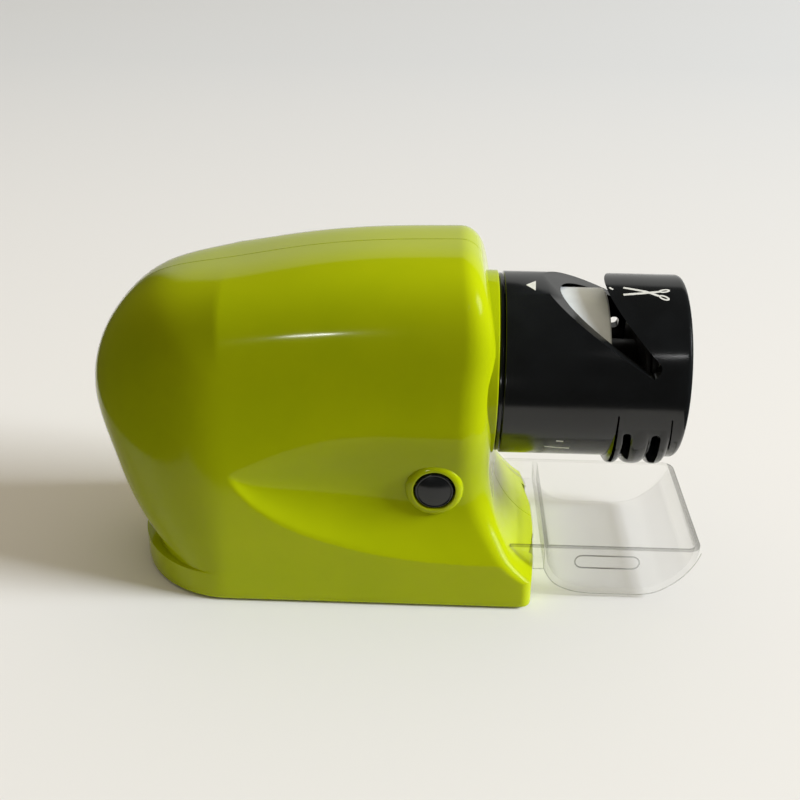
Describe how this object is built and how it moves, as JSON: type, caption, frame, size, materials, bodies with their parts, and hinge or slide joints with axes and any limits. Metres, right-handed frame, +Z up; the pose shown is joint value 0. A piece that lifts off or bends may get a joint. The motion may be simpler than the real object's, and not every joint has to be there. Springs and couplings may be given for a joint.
{
  "type": "electric knife sharpener",
  "caption": "Cordless table-top knife and scissors sharpener: green arched housing, turning black guide cap with grinding stones inside, side power button and clear catch tray.",
  "frame": {"origin": "on the ground, under the middle of the whole length, on the plane where the two shells meet", "axes": "+X along the length from the round rear end towards the guide cap and tray, -Y towards the side with the button, +Z up"},
  "size_m": [0.1664, 0.063, 0.0937],
  "materials": {
    "green_gloss": "glossy moulded lime green",
    "black_gloss": "glossy moulded black",
    "black_satin": "satin moulded black",
    "white_plastic": "off-white nylon",
    "stone_grey": "fine bonded abrasive",
    "clear": "clear moulded plastic",
    "steel": "zinc plated",
    "brass": "turned",
    "rubber": "matt moulded",
    "cell_wrap": "printed sleeve without lettering",
    "red_wire": "insulated wire",
    "black_wire": "insulated wire"
  },
  "bodies": {
    "base": {"housing_near": "green_gloss", "housing_far": "green_gloss", "housing_screw_1": "steel", "housing_screw_2": "steel", "housing_screw_3": "steel", "housing_screw_4": "steel", "housing_screw_5": "steel", "rubber_foot_1": "rubber", "rubber_foot_2": "rubber", "rubber_foot_3": "rubber", "rubber_foot_4": "rubber", "battery_holder": "black_satin", "battery_cell_1": "cell_wrap", "battery_cell_2": "cell_wrap", "battery_cell_3": "cell_wrap", "battery_cell_4": "cell_wrap", "contact_spring_1": "steel", "contact_spring_2": "steel", "contact_spring_3": "steel", "contact_spring_4": "steel", "contact_plate_rear": "steel", "contact_plate_front": "steel", "motor_can": "steel", "motor_end_cap": "white_plastic", "motor_bracket": "steel", "motor_screw_1": "steel", "motor_screw_2": "steel", "cap_seat_ring": "black_gloss", "button_spring": "steel", "switch_bracket": "black_satin", "switch_body": "black_satin", "wire_battery_motor": "red_wire", "wire_switch_motor": "black_wire", "wire_battery_switch": "red_wire"},
    "cap": {"guide_cap": "black_gloss", "shaft_bush": "brass"},
    "spindle": {"drive_shaft": "steel", "wheel_hub": "black_satin", "grinding_stone": "stone_grey", "spacer_ring": "black_satin", "knife_wheel": "stone_grey"},
    "button": {"power_button": "black_gloss"},
    "plunger": {"switch_plunger": "white_plastic"},
    "tray": {"catch_tray": "clear"},
    "door": {"battery_door": "green_gloss"}
  },
  "joints": [
    {"name": "cap_turn", "type": "hinge", "parent": "base", "child": "cap", "pos_m": [0.05, 0, 0.0592], "axis": [1, 0, 0], "continuous": true},
    {"name": "spindle_spin", "type": "hinge", "parent": "base", "child": "spindle", "pos_m": [0.05, 0, 0.0592], "axis": [1, 0, 0], "continuous": true},
    {"name": "button_press", "type": "slide", "parent": "base", "child": "button", "axis": [0, 1, 0], "range_m": [0, 0.002], "stiffness_N_per_m": 800, "springref_m": -0.001, "deforming": ["button_spring"]},
    {"name": "plunger_press", "type": "slide", "parent": "base", "child": "plunger", "axis": [0, 1, 0], "range_m": [0, 0.002]},
    {"name": "tray_pull", "type": "slide", "parent": "base", "child": "tray", "axis": [1, 0, 0], "range_m": [0, 0.014]},
    {"name": "door_swing", "type": "hinge", "parent": "base", "child": "door", "pos_m": [-0.0626, 0, 0.0007], "axis": [0, 1, 0], "range_deg": [0, 75]}
  ],
  "couplings": [
    {"joint": "plunger_press", "follows": "button_press", "ratio": 1}
  ]
}
